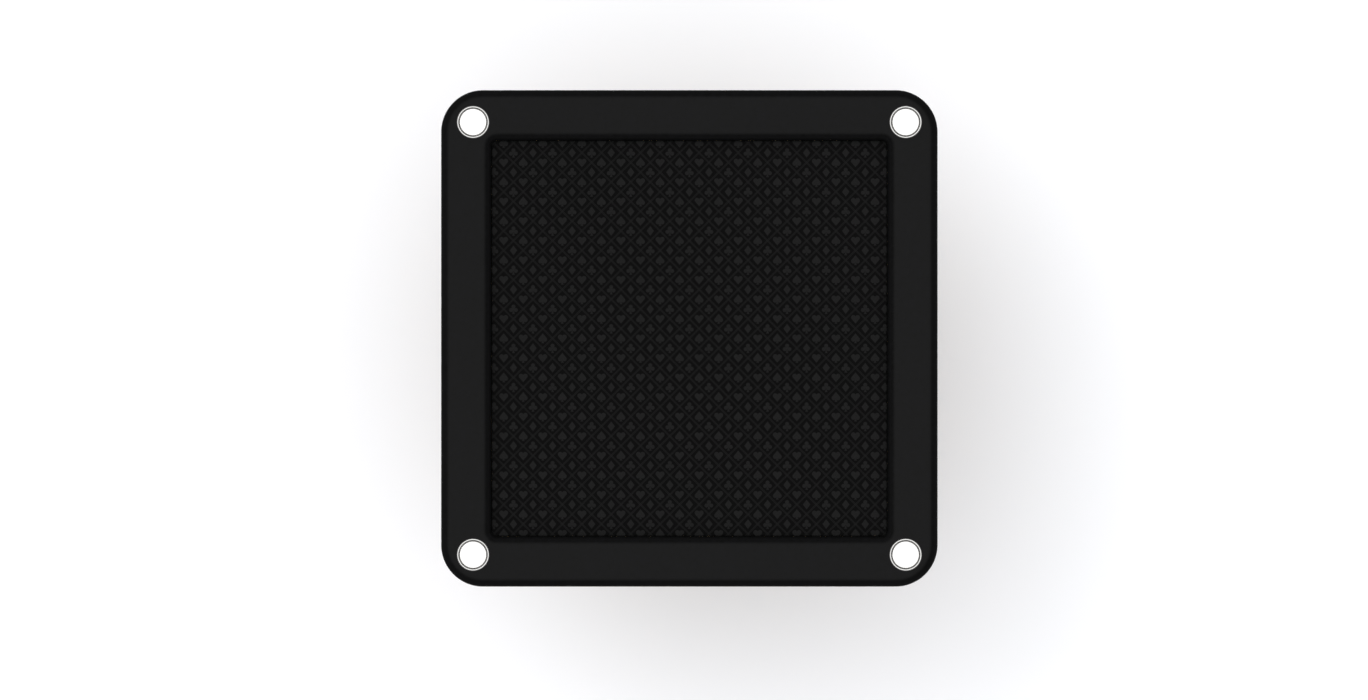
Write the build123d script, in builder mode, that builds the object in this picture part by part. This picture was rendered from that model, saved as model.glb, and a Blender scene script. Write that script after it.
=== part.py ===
"""Square card table for four players.

A padded rail holds four drop-in steel cups and frames a playing field that lifts out. A shallow
box under the rail carries both, and stands on a square column with a plinth and four levelling feet.

Frame: millimetres, +Z up, origin on the floor below the table's centre. The front faces -Y.
"""

import os
from math import sqrt

from build123d import *

# ---------------------------------------------------------------- driving dimensions
# Overall
table_side = 1270.0
table_height = 762.0  # floor to the top of the padded rail
corner_radius = 107.0  # of the rail's outline
rail_width = 127.0
field_corner_radius = 14.0  # of the opening inside the rail

# Padded rail: vinyl cover over foam over a plywood core
cover_thickness = 1.2
edge_round = 20.0  # roll of the rail's two top edges
foam_height = 25.6
core_thickness = 18.0
corner_segment = 160.0  # side of the square that one corner segment of foam or core fills
outer_flap = 35.0  # cover turned under the core and stapled, at the outline
inner_flap = 25.0  # the same, at the opening

# Drop-in cups
cup_inset = 81.6  # cup's centre from the rail's outline, both ways
cup_inner_radius = 35.5
cup_wall = 1.0
cup_depth = 64.0  # below the top of the rail
cup_floor_round = 2.5  # inside, between wall and floor
lip_arch_radius = 3.4  # of the rolled lip's upper surface
lip_spring = 0.6  # the arch's centre lies this far below the top of the rail
cup_hole_clearance = 1.5

# Lift-out playing field: cloth over foam underlay over a board
field_gap = 2.0  # round the field, inside the rail
cloth_thickness = 1.0
underlay_thickness = 5.0
board_thickness = 12.0
cloth_flap = 40.0  # cloth turned under the board
cloth_edge_round = 2.5

# Box under the rail
apron_inset = 8.0  # behind the rail's outline
apron_thickness = 15.0
apron_height = 100.0
dowel_radius = 4.0
dowel_length = 36.0
dowel_edge = 26.0  # dowel's centre from the apron's top or bottom edge
deck_thickness = 15.0
deck_cup_clearance = 6.0  # between a cup and the deck's clipped corner
finger_hole_radius = 15.0  # for pushing the field up from below
finger_hole_inset = 78.0  # hole's centre from the opening's edge
cleat_side = 20.0
cleat_end_gap = 10.0  # from the cleat's end to the deck's clipped corner
batten_width = 45.0
batten_height = 40.0
batten_gap = 27.5  # between a batten and the column's top plate
brace_thickness = 18.0
brace_height = 60.0
brace_gap = 3.0  # below the cleats
brace_setback = 15.0  # between a brace and the nearest point of the cup above it, in plan

# Column and its top plate
top_plate_rim = 32.0  # of the plate beyond the cap moulding, for the bolts
top_plate_thickness = 18.0
column_side = 440.0
panel_thickness = 18.0
panel_field_margin = 62.0  # round the sunk field of a column panel
panel_field_depth = 5.0
panel_field_bevel = 4.0
post_side = 40.0
cap_projection = 28.0
cap_height = 38.0
cap_chamfer = 18.0
base_projection = 30.0
base_height = 45.0
base_chamfer = 20.0
mitre_gap = 0.2
arris_round = 2.0  # on the corners that hands and shoes touch

# Plinth and levelling feet
plinth_side = 700.0
plinth_top_thickness = 18.0
plinth_corner_radius = 20.0
plinth_edge_round = 7.0
skirt_setback = 15.0
skirt_thickness = 18.0
skirt_height = 52.0
block_side = 70.0
foot_disc_radius = 19.0
foot_disc_height = 8.0
foot_edge_round = 1.5
foot_socket_depth = 5.0  # the stud's end turns in it
stud_radius = 5.0
stud_length = 56.0
stud_hex_flats = 17.0
stud_hex_height = 8.0
insert_radius = 7.5
insert_length = 20.0

# Fasteners
screw_length = 30.0
screw_radius = 2.0
screw_head_radius = 4.0
screw_head_height = 2.4
rail_bolt_radius = 3.0
plate_bolt_radius = 4.0
tnut_flange_thickness = 1.5
tnut_length = 11.0
bolt_flange_thickness = 1.4
bolt_end_gap = 1.0  # between a bolt's end and the face above its T-nut
plate_bolt_inset = 15.0  # bolt's centre from the top plate's edge
hole_clearance = 0.5  # round a bolt in wood
fit_clearance = 0.05  # round a fastener in its own seat, and round a turning thread
seat_gap = 0.3  # under anything that lifts off or turns

# Places along the sides, measured from the middle of each side
rail_bolt_places = (-420.0, -150.0, 150.0, 420.0)
plate_bolt_places = (-140.0, 140.0)
cleat_side_screws = (-380.0, -190.0, 0.0, 190.0, 380.0)
cleat_top_screws = (-285.0, -95.0, 95.0, 285.0)
batten_screws = (-500.0, -250.0, 0.0, 250.0, 500.0)

# ---------------------------------------------------------------- derived sizes and heights
half_side = table_side / 2
opening_half = half_side - rail_width
cup_place = half_side - cup_inset
cup_outer_radius = cup_inner_radius + cup_wall
cup_hole_radius = cup_outer_radius + cup_hole_clearance

rail_top = table_height
foam_top = rail_top - cover_thickness
core_top = foam_top - foam_height
core_bottom = core_top - core_thickness
rail_bottom = core_bottom - cover_thickness

deck_top = rail_bottom
deck_bottom = deck_top - deck_thickness
apron_bottom = deck_top - apron_height
apron_outer = half_side - apron_inset
apron_inner = apron_outer - apron_thickness
apron_corner_outer = corner_radius - apron_inset
apron_corner_inner = apron_corner_outer - apron_thickness
apron_straight = apron_outer - apron_corner_outer  # half the length of a straight board
deck_corner_sum = 2 * cup_place - sqrt(2) * (cup_outer_radius + deck_cup_clearance)  # x + y
deck_clip = 2 * apron_inner - deck_corner_sum
cleat_half = apron_inner - deck_clip - cleat_end_gap
cleat_bottom = deck_bottom - cleat_side
cleat_inner = apron_inner - cleat_side
batten_bottom = deck_bottom - batten_height
top_plate_side = column_side + 2 * cap_projection + 2 * top_plate_rim
batten_place = top_plate_side / 2 + batten_gap + batten_width / 2
brace_top = cleat_bottom - brace_gap
brace_bottom = brace_top - brace_height
brace_outer_sum = 2 * cup_place - sqrt(2) * (cup_outer_radius + brace_setback)  # x + y
brace_inner_sum = brace_outer_sum - sqrt(2) * brace_thickness
finger_hole_place = opening_half - finger_hole_inset

cloth_bottom = deck_top + seat_gap
board_bottom = cloth_bottom + cloth_thickness
board_top = board_bottom + board_thickness
underlay_top = board_top + underlay_thickness
cloth_top = underlay_top + cloth_thickness
cloth_half = opening_half - field_gap
board_half = cloth_half - cloth_thickness
cloth_corner_radius = field_corner_radius - field_gap
board_corner_radius = cloth_corner_radius - cloth_thickness

foot_height = foot_disc_height + stud_hex_height  # disc and hexagon together
skirt_bottom = foot_height + seat_gap
skirt_top = skirt_bottom + skirt_height
plinth_top_z = skirt_top + plinth_top_thickness
top_plate_bottom = deck_bottom - top_plate_thickness
column_height = top_plate_bottom - plinth_top_z
column_half = column_side / 2
post_place = column_half - panel_thickness - post_side / 2
skirt_half = plinth_side / 2 - skirt_setback
block_place = skirt_half - skirt_thickness - block_side / 2
plate_bolt_line = top_plate_side / 2 - plate_bolt_inset
rail_bolt_line = half_side - rail_width / 2

quarters = {"front": 0, "right": 90, "back": 180, "left": 270}  # turn from the front side
corners = {"front_left": 0, "front_right": 90, "back_right": 180, "back_left": 270}

os.makedirs("parts", exist_ok=True)


def save(builder, name):
    """Labels a finished piece and writes its STEP file."""
    builder.part.label = name
    export_step(builder.part, f"parts/{name}.step")


def level(z, turn=0):
    """A horizontal plane at height z, turned about +Z."""
    return Plane.XY.offset(z).rotated((0, 0, turn))


def four_ways(line, places):
    """Points on the line at that distance from the centre, repeated on all four sides."""
    front_and_back = [(x, y) for y in (-line, line) for x in places]
    return front_and_back + [(y, x) for x, y in front_and_back]


def ring(inset, bottom, top, round_radius=0.0):
    """The rail's outline less its opening, each drawn in by inset, with rolled top edges."""
    outer_side = table_side - 2 * inset
    inner_side = 2 * (opening_half + inset)
    with BuildPart() as body:
        with BuildSketch(level(bottom)):
            RectangleRounded(outer_side, outer_side, corner_radius - inset)
            RectangleRounded(inner_side, inner_side, field_corner_radius + inset, mode=Mode.SUBTRACT)
        extrude(amount=top - bottom)
        if round_radius:
            fillet(body.faces().sort_by(Axis.Z)[-1].edges(), round_radius)
    return body.part


def flange_bolts(places, under_head, end, radius):
    """Upright hexagon flange bolts, heads down, one solid at each place."""
    with BuildPart() as bolts:
        with BuildSketch(level(under_head - bolt_flange_thickness - radius)):
            with Locations(*places):
                RegularPolygon(1.65 * radius, 6, major_radius=False)
        extrude(amount=radius)
        with BuildSketch(level(under_head - bolt_flange_thickness)):
            with Locations(*places):
                Circle(2.2 * radius)
        extrude(amount=bolt_flange_thickness)
        with BuildSketch(level(under_head)):
            with Locations(*places):
                Circle(radius)
        extrude(amount=end - under_head)
    return bolts


def tnuts(places, face, radius):
    """T-nuts let in flush with a horizontal face, barrels down, one solid at each place."""
    with BuildPart() as nuts:
        with BuildSketch(level(face - tnut_flange_thickness)):
            with Locations(*places):
                Circle(2.7 * radius)
                Circle(radius + fit_clearance, mode=Mode.SUBTRACT)
        extrude(amount=tnut_flange_thickness)
        with BuildSketch(level(face - tnut_length)):
            with Locations(*places):
                Circle(1.3 * radius)
                Circle(radius + fit_clearance, mode=Mode.SUBTRACT)
        extrude(amount=tnut_length - tnut_flange_thickness)
    return nuts


def tnut_seats(places, face, radius):
    """The room that those T-nuts need, for cutting from the wood."""
    with BuildPart() as room:
        with BuildSketch(level(face - tnut_flange_thickness)):
            with Locations(*places):
                Circle(2.7 * radius + fit_clearance)
        extrude(amount=tnut_flange_thickness)
        with BuildSketch(level(face - tnut_length)):
            with Locations(*places):
                Circle(1.3 * radius + fit_clearance)
        extrude(amount=tnut_length)
    return room.part


def bolt_holes(places, bottom, top, radius):
    """Clearance holes for upright bolts, for cutting from the wood."""
    with BuildPart() as room:
        with BuildSketch(level(bottom)):
            with Locations(*places):
                Circle(radius + hole_clearance)
        extrude(amount=top - bottom)
    return room.part


def screw_form(clearance):
    """A countersunk wood screw, head face at the origin and point towards -Z, grown by clearance."""
    with BuildPart() as screw:
        with BuildSketch(Plane.XZ):
            with BuildLine():
                Polyline(
                    (0, 0),
                    (screw_head_radius + clearance, 0),
                    (screw_radius + clearance, -screw_head_height),
                    (screw_radius + clearance, -screw_length + 2 * screw_radius),
                    (0, -screw_length - clearance),
                    (0, 0),
                )
            make_face()
        revolve(axis=Axis.Z)
    return screw.part


rail_bolt_spots = four_ways(rail_bolt_line, rail_bolt_places)
plate_bolt_spots = four_ways(plate_bolt_line, plate_bolt_places)
cup_spots = [(x, y) for x in (-cup_place, cup_place) for y in (-cup_place, cup_place)]
post_spots = [(x, y) for x in (-post_place, post_place) for y in (-post_place, post_place)]

# ---------------------------------------------------------------- padded rail
rail_filling = ring(cover_thickness, core_bottom, foam_top, edge_round - cover_thickness)

with BuildPart() as rail_cover:
    add(ring(0, rail_bottom, rail_top, edge_round))
    add(rail_filling, mode=Mode.SUBTRACT)
    with BuildSketch(level(rail_bottom)):
        window_outer = table_side - 2 * outer_flap
        window_inner = 2 * (opening_half + inner_flap)
        RectangleRounded(window_outer, window_outer, corner_radius - outer_flap)
        RectangleRounded(
            window_inner, window_inner, field_corner_radius + inner_flap, mode=Mode.SUBTRACT
        )
    extrude(amount=cover_thickness, mode=Mode.SUBTRACT)
    with BuildSketch(level(rail_bottom)):
        with Locations(*cup_spots):
            Circle(cup_hole_radius)
    extrude(amount=rail_top - rail_bottom, mode=Mode.SUBTRACT)
save(rail_cover, "rail_cover")

segment_place = half_side - corner_segment / 2

with BuildPart() as rail_foam_sides:
    add(ring(cover_thickness, core_top, foam_top, edge_round - cover_thickness))
    with BuildSketch(level(core_top)):
        with GridLocations(2 * segment_place, 2 * segment_place, 2, 2):
            Rectangle(corner_segment, corner_segment)
    extrude(amount=foam_height, mode=Mode.SUBTRACT)
save(rail_foam_sides, "rail_foam_sides")

with BuildPart() as rail_foam_corners:
    with BuildSketch(level(core_top)):
        with GridLocations(2 * segment_place, 2 * segment_place, 2, 2):
            Rectangle(corner_segment, corner_segment)
    extrude(amount=foam_height)
    add(ring(cover_thickness, core_top, foam_top, edge_round - cover_thickness), mode=Mode.INTERSECT)
    with BuildSketch(level(core_top)):
        with Locations(*cup_spots):
            Circle(cup_hole_radius)
    extrude(amount=foam_height, mode=Mode.SUBTRACT)
save(rail_foam_corners, "rail_foam_corners")

rail_nut_room = tnut_seats(rail_bolt_spots, core_top, rail_bolt_radius)
rail_bolt_room = bolt_holes(rail_bolt_spots, deck_bottom, core_top, rail_bolt_radius)

for side, turn in quarters.items():
    with BuildPart() as rail_core_side:
        with BuildSketch(level(core_bottom, turn)):
            with Locations((0, -half_side + rail_width / 2)):
                Rectangle(table_side - 2 * corner_segment, rail_width - 2 * cover_thickness)
        extrude(amount=core_thickness)
        add(rail_nut_room, mode=Mode.SUBTRACT)
        add(rail_bolt_room, mode=Mode.SUBTRACT)
    save(rail_core_side, f"rail_core_{side}")

with BuildPart() as rail_core_corners:
    with BuildSketch(level(core_bottom)):
        with GridLocations(2 * segment_place, 2 * segment_place, 2, 2):
            Rectangle(corner_segment, corner_segment)
    extrude(amount=core_thickness)
    add(ring(cover_thickness, core_bottom, core_top), mode=Mode.INTERSECT)
    with BuildSketch(level(core_bottom)):
        with Locations(*cup_spots):
            Circle(cup_hole_radius)
    extrude(amount=core_thickness, mode=Mode.SUBTRACT)
save(rail_core_corners, "rail_core_corners")

# ---------------------------------------------------------------- drop-in cups
lip_centre_radius = cup_inner_radius + lip_arch_radius
lip_centre_z = rail_top - lip_spring
lip_under_radius = lip_arch_radius - cup_wall
lip_foot = rail_top + seat_gap
lip_rise = lip_foot - lip_centre_z
lip_outer = lip_centre_radius + sqrt(lip_arch_radius**2 - lip_rise**2)
lip_under = lip_centre_radius + sqrt(lip_under_radius**2 - lip_rise**2)
cup_bottom = rail_top - cup_depth
cup_floor = cup_bottom + cup_wall
cup_bottom_round = cup_floor_round + cup_wall
quarter_turn = 1 - 1 / sqrt(2)  # how far the middle of a quarter arc lies inside its corner

with BuildPart() as cup_form:
    with BuildSketch(Plane.XZ):
        with BuildLine():
            Polyline(
                (cup_inner_radius - cup_floor_round, cup_floor),
                (0, cup_floor),
                (0, cup_bottom),
                (cup_outer_radius - cup_bottom_round, cup_bottom),
            )
            ThreePointArc(
                (cup_outer_radius - cup_bottom_round, cup_bottom),
                (
                    cup_outer_radius - cup_bottom_round * quarter_turn,
                    cup_bottom + cup_bottom_round * quarter_turn,
                ),
                (cup_outer_radius, cup_bottom + cup_bottom_round),
            )
            Line((cup_outer_radius, cup_bottom + cup_bottom_round), (cup_outer_radius, lip_centre_z))
            ThreePointArc(
                (cup_outer_radius, lip_centre_z),
                (lip_centre_radius, lip_centre_z + lip_under_radius),
                (lip_under, lip_foot),
            )
            Line((lip_under, lip_foot), (lip_outer, lip_foot))
            ThreePointArc(
                (lip_outer, lip_foot),
                (lip_centre_radius, lip_centre_z + lip_arch_radius),
                (cup_inner_radius, lip_centre_z),
            )
            Line((cup_inner_radius, lip_centre_z), (cup_inner_radius, cup_floor + cup_floor_round))
            ThreePointArc(
                (cup_inner_radius, cup_floor + cup_floor_round),
                (
                    cup_inner_radius - cup_floor_round * quarter_turn,
                    cup_floor + cup_floor_round * quarter_turn,
                ),
                (cup_inner_radius - cup_floor_round, cup_floor),
            )
        make_face()
    revolve(axis=Axis.Z)

for corner, turn in corners.items():
    with BuildPart() as cup:
        with Locations(level(0, turn) * Location((-cup_place, -cup_place, 0))):
            add(cup_form.part)
    save(cup, f"cup_{corner}")

# ---------------------------------------------------------------- lift-out playing field
with BuildPart() as field_board:
    with BuildSketch(level(board_bottom)):
        RectangleRounded(2 * board_half, 2 * board_half, board_corner_radius)
    extrude(amount=board_thickness)
save(field_board, "field_board")

with BuildPart() as field_underlay:
    with BuildSketch(level(board_top)):
        RectangleRounded(2 * board_half, 2 * board_half, board_corner_radius)
    extrude(amount=underlay_thickness)
    fillet(field_underlay.faces().sort_by(Axis.Z)[-1].edges(), cloth_edge_round - cloth_thickness)
save(field_underlay, "field_underlay")

with BuildPart() as field_cloth:
    with BuildSketch(level(cloth_bottom)):
        RectangleRounded(2 * cloth_half, 2 * cloth_half, cloth_corner_radius)
    extrude(amount=cloth_top - cloth_bottom)
    fillet(field_cloth.faces().sort_by(Axis.Z)[-1].edges(), cloth_edge_round)
    add(field_board.part, mode=Mode.SUBTRACT)
    add(field_underlay.part, mode=Mode.SUBTRACT)
    with BuildSketch(level(cloth_bottom)):
        Rectangle(2 * (cloth_half - cloth_flap), 2 * (cloth_half - cloth_flap))
    extrude(amount=cloth_thickness, mode=Mode.SUBTRACT)
save(field_cloth, "field_cloth")

# ---------------------------------------------------------------- box under the rail
dowel_levels = (apron_bottom + dowel_edge, deck_top - dowel_edge)
dowel_spots = [
    Plane(origin=(end * apron_straight, -apron_outer + apron_thickness / 2, z), z_dir=(1, 0, 0))
    for end in (-1, 1)
    for z in dowel_levels
]


def dowels(grow):
    """Dowels across the joints between straight boards and corners, on all four sides."""
    with BuildPart() as pins:
        for turn in quarters.values():
            with Locations(*[Rotation(0, 0, turn) * spot.location for spot in dowel_spots]):
                Cylinder(dowel_radius + grow, dowel_length + 2 * grow)
    return pins


apron_dowels = dowels(0)
save(apron_dowels, "apron_dowels")
dowel_room = dowels(fit_clearance).part

screw = screw_form(0)
screw_room = screw_form(fit_clearance)


def cleat_screw_locations():
    """Screws through each cleat, into the apron and up into the deck."""
    found = []
    for turn in quarters.values():
        for x in cleat_side_screws:
            into_apron = Plane(origin=(x, -cleat_inner, deck_bottom - cleat_side / 2), z_dir=(0, 1, 0))
            found.append(Rotation(0, 0, turn) * into_apron.location)
        for x in cleat_top_screws:
            into_deck = Plane(origin=(x, -apron_inner + cleat_side / 2, cleat_bottom), z_dir=(0, 0, -1))
            found.append(Rotation(0, 0, turn) * into_deck.location)
    return found


batten_screw_head = deck_bottom - (screw_length - (deck_thickness - cleat_side / 4))
cleat_screw_spots = cleat_screw_locations()
batten_screw_spots = [
    Plane(origin=(x, y, batten_screw_head), z_dir=(0, 0, -1)).location
    for x in (-batten_place, batten_place)
    for y in batten_screws
]
plinth_screw_spots = [
    Plane(origin=(x, y, skirt_top), z_dir=(0, 0, -1)).location for x, y in post_spots
]
plate_screw_spots = [Location((x, y, deck_bottom)) for x, y in post_spots]
all_screw_spots = cleat_screw_spots + batten_screw_spots + plinth_screw_spots + plate_screw_spots

with BuildPart() as wood_screws:
    with Locations(*all_screw_spots):
        add(screw)
save(wood_screws, "wood_screws")

for side, turn in quarters.items():
    with BuildPart() as apron_board:
        with BuildSketch(level(apron_bottom, turn)):
            with Locations((0, -apron_outer + apron_thickness / 2)):
                Rectangle(2 * apron_straight, apron_thickness)
        extrude(amount=apron_height)
        add(dowel_room, mode=Mode.SUBTRACT)
        with Locations(*cleat_screw_spots):
            add(screw_room, mode=Mode.SUBTRACT)
    save(apron_board, f"apron_{side}")

for corner, turn in corners.items():
    with BuildPart() as apron_corner:
        with BuildSketch(level(apron_bottom, turn)):
            with Locations((-apron_straight, -apron_straight)):
                Circle(apron_corner_outer)
                Circle(apron_corner_inner, mode=Mode.SUBTRACT)
            with Locations((-apron_outer, -apron_outer)):
                Rectangle(
                    2 * apron_corner_outer,
                    2 * apron_corner_outer,
                    mode=Mode.INTERSECT,
                )
        extrude(amount=apron_height)
        add(dowel_room, mode=Mode.SUBTRACT)
    save(apron_corner, f"apron_corner_{corner}")

plate_nut_room = tnut_seats(plate_bolt_spots, deck_top, plate_bolt_radius)
plate_bolt_room = bolt_holes(plate_bolt_spots, top_plate_bottom, deck_top, plate_bolt_radius)

with BuildPart() as deck:
    with BuildSketch(level(deck_bottom)) as deck_outline:
        Rectangle(2 * apron_inner, 2 * apron_inner)
        chamfer(deck_outline.vertices(), deck_clip)
        with Locations((-finger_hole_place, 0), (finger_hole_place, 0)):
            Circle(finger_hole_radius, mode=Mode.SUBTRACT)
    extrude(amount=deck_thickness)
    add(rail_bolt_room, mode=Mode.SUBTRACT)
    add(plate_bolt_room, mode=Mode.SUBTRACT)
    add(plate_nut_room, mode=Mode.SUBTRACT)
    with Locations(*cleat_screw_spots, *batten_screw_spots):
        add(screw_room, mode=Mode.SUBTRACT)
save(deck, "deck")

with BuildPart() as edge_cleats:
    for turn in quarters.values():
        with BuildSketch(level(cleat_bottom, turn)):
            with Locations((0, -apron_inner + cleat_side / 2)):
                Rectangle(2 * cleat_half, cleat_side)
        extrude(amount=cleat_side)
    with Locations(*cleat_screw_spots):
        add(screw_room, mode=Mode.SUBTRACT)
save(edge_cleats, "edge_cleats")

for side, place in (("left", -batten_place), ("right", batten_place)):
    with BuildPart() as batten:
        with BuildSketch(level(batten_bottom)):
            with Locations((place, 0)):
                Rectangle(batten_width, 2 * cleat_inner)
        extrude(amount=batten_height)
        with BuildSketch(level(batten_bottom)):
            with Locations(*[(place, y) for y in batten_screws]):
                Circle(screw_head_radius + hole_clearance)
        extrude(amount=batten_screw_head - batten_bottom, mode=Mode.SUBTRACT)
        with Locations(*batten_screw_spots):
            add(screw_room, mode=Mode.SUBTRACT)
    save(batten, f"batten_{side}")

with BuildPart() as corner_braces:
    for turn in corners.values():
        with BuildSketch(level(brace_bottom, turn)):
            with BuildLine():
                Polyline(
                    (-apron_inner, apron_inner - brace_outer_sum),
                    (-apron_inner, apron_inner - brace_inner_sum),
                    (apron_inner - brace_inner_sum, -apron_inner),
                    (apron_inner - brace_outer_sum, -apron_inner),
                    close=True,
                )
            make_face()
        extrude(amount=brace_height)
save(corner_braces, "corner_braces")

# ---------------------------------------------------------------- bolts and T-nuts
rail_bolts = flange_bolts(rail_bolt_spots, deck_bottom, core_top - bolt_end_gap, rail_bolt_radius)
save(rail_bolts, "rail_bolts")
rail_tnuts = tnuts(rail_bolt_spots, core_top, rail_bolt_radius)
save(rail_tnuts, "rail_tnuts")
plate_bolts = flange_bolts(
    plate_bolt_spots, top_plate_bottom, deck_top - bolt_end_gap, plate_bolt_radius
)
save(plate_bolts, "plate_bolts")
plate_tnuts = tnuts(plate_bolt_spots, deck_top, plate_bolt_radius)
save(plate_tnuts, "plate_tnuts")

# ---------------------------------------------------------------- column
with BuildPart() as top_plate:
    with BuildSketch(level(top_plate_bottom)):
        Rectangle(top_plate_side, top_plate_side)
    extrude(amount=top_plate_thickness)
    add(plate_bolt_room, mode=Mode.SUBTRACT)
    with Locations(*plate_screw_spots):
        add(screw_room, mode=Mode.SUBTRACT)
save(top_plate, "top_plate")

for side, turn in quarters.items():
    with BuildPart() as column_panel:
        with BuildSketch(level(plinth_top_z, turn)):
            with BuildLine():
                Polyline(
                    (-column_half, -column_half),
                    (column_half, -column_half),
                    (column_half - panel_thickness, panel_thickness - column_half),
                    (panel_thickness - column_half, panel_thickness - column_half),
                    close=True,
                )
            make_face()
        extrude(amount=column_height)
        face_plane = Plane(
            origin=(0, -column_half, (plinth_top_z + base_height + top_plate_bottom - cap_height) / 2),
            x_dir=(1, 0, 0),
            z_dir=(0, -1, 0),
        )
        with BuildSketch(Plane(Rotation(0, 0, turn) * face_plane.location)):
            Rectangle(
                column_side - 2 * panel_field_margin,
                column_height - base_height - cap_height - 2 * panel_field_margin,
            )
        extrude(amount=-panel_field_depth, taper=45 * panel_field_bevel / panel_field_depth,
                mode=Mode.SUBTRACT)
    save(column_panel, f"column_panel_{side}")

with BuildPart() as column_posts:
    with BuildSketch(level(plinth_top_z)):
        with Locations(*post_spots):
            Rectangle(post_side, post_side)
    extrude(amount=column_height)
    with Locations(*plinth_screw_spots, *plate_screw_spots):
        add(screw_room, mode=Mode.SUBTRACT)
save(column_posts, "column_posts")


def mitre_cuts(bottom, height, reach):
    """Thin saw cuts along both diagonals, which part a square ring into four mitred lengths."""
    with BuildPart() as cuts:
        for turn in (45, -45):
            with BuildSketch(level(bottom, turn)):
                Rectangle(2 * reach, mitre_gap)
            extrude(amount=height)
    return cuts.part


with BuildPart() as column_cap:
    with BuildSketch(level(top_plate_bottom - cap_height)):
        Rectangle(column_side + 2 * cap_projection, column_side + 2 * cap_projection)
    extrude(amount=cap_height)
    chamfer(column_cap.faces().sort_by(Axis.Z)[0].edges(), cap_chamfer)
    with BuildSketch(level(top_plate_bottom - cap_height)):
        Rectangle(column_side, column_side)
    extrude(amount=cap_height, mode=Mode.SUBTRACT)
    add(mitre_cuts(top_plate_bottom - cap_height, cap_height, column_side), mode=Mode.SUBTRACT)
save(column_cap, "column_cap_moulding")

with BuildPart() as column_base:
    with BuildSketch(level(plinth_top_z)):
        Rectangle(column_side + 2 * base_projection, column_side + 2 * base_projection)
    extrude(amount=base_height)
    chamfer(column_base.faces().sort_by(Axis.Z)[-1].edges(), base_chamfer)
    with BuildSketch(level(plinth_top_z)):
        Rectangle(column_side, column_side)
    extrude(amount=base_height, mode=Mode.SUBTRACT)
    add(mitre_cuts(plinth_top_z, base_height, column_side), mode=Mode.SUBTRACT)
save(column_base, "column_base_moulding")

# ---------------------------------------------------------------- plinth
with BuildPart() as plinth_top:
    with BuildSketch(level(skirt_top)):
        RectangleRounded(plinth_side, plinth_side, plinth_corner_radius)
    extrude(amount=plinth_top_thickness)
    fillet(plinth_top.faces().sort_by(Axis.Z)[-1].edges(), plinth_edge_round)
    with Locations(*plinth_screw_spots):
        add(screw_room, mode=Mode.SUBTRACT)
save(plinth_top, "plinth_top")

for side, turn in quarters.items():
    with BuildPart() as plinth_skirt:
        with BuildSketch(level(skirt_bottom, turn)):
            with BuildLine():
                Polyline(
                    (-skirt_half, -skirt_half),
                    (skirt_half, -skirt_half),
                    (skirt_half - skirt_thickness, skirt_thickness - skirt_half),
                    (skirt_thickness - skirt_half, skirt_thickness - skirt_half),
                    close=True,
                )
            make_face()
        extrude(amount=skirt_height)
    save(plinth_skirt, f"plinth_skirt_{side}")

foot_spots = [(x, y) for x in (-block_place, block_place) for y in (-block_place, block_place)]

with BuildPart() as plinth_blocks:
    with BuildSketch(level(skirt_bottom)):
        with Locations(*foot_spots):
            Rectangle(block_side, block_side)
    extrude(amount=skirt_height)
    with BuildSketch(level(skirt_bottom)):
        with Locations(*foot_spots):
            Circle(insert_radius + fit_clearance)
    extrude(amount=insert_length, mode=Mode.SUBTRACT)
    with BuildSketch(level(skirt_bottom)):
        with Locations(*foot_spots):
            Circle(stud_radius + hole_clearance)
    extrude(amount=skirt_height, mode=Mode.SUBTRACT)
save(plinth_blocks, "plinth_blocks")

# ---------------------------------------------------------------- levelling feet
with BuildPart() as foot_inserts:
    with BuildSketch(level(skirt_bottom)):
        with Locations(*foot_spots):
            Circle(insert_radius)
            Circle(stud_radius + fit_clearance, mode=Mode.SUBTRACT)
    extrude(amount=insert_length)
save(foot_inserts, "foot_inserts")

for corner, turn in corners.items():
    with BuildPart() as foot:
        with BuildSketch(level(0, turn)):
            with Locations((-block_place, -block_place)):
                Circle(foot_disc_radius)
        extrude(amount=foot_disc_height)
        fillet(foot.edges().filter_by(GeomType.CIRCLE), foot_edge_round)
        with BuildSketch(level(foot_disc_height, turn)):
            with Locations((-block_place, -block_place)):
                Circle(stud_radius + fit_clearance)
        extrude(amount=-foot_socket_depth, mode=Mode.SUBTRACT)
    save(foot, f"foot_{corner}")

    with BuildPart() as foot_stud:
        with BuildSketch(level(foot_disc_height - foot_socket_depth, turn)):
            with Locations((-block_place, -block_place)):
                Circle(stud_radius)
        extrude(amount=stud_length)
        chamfer(foot_stud.edges().filter_by(GeomType.CIRCLE).sort_by(Axis.Z)[-1], stud_radius / 5)
        with BuildSketch(level(foot_disc_height, turn)):
            with Locations((-block_place, -block_place)):
                RegularPolygon(stud_hex_flats / 2, 6, major_radius=False)
        extrude(amount=stud_hex_height)
    save(foot_stud, f"foot_stud_{corner}")
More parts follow.
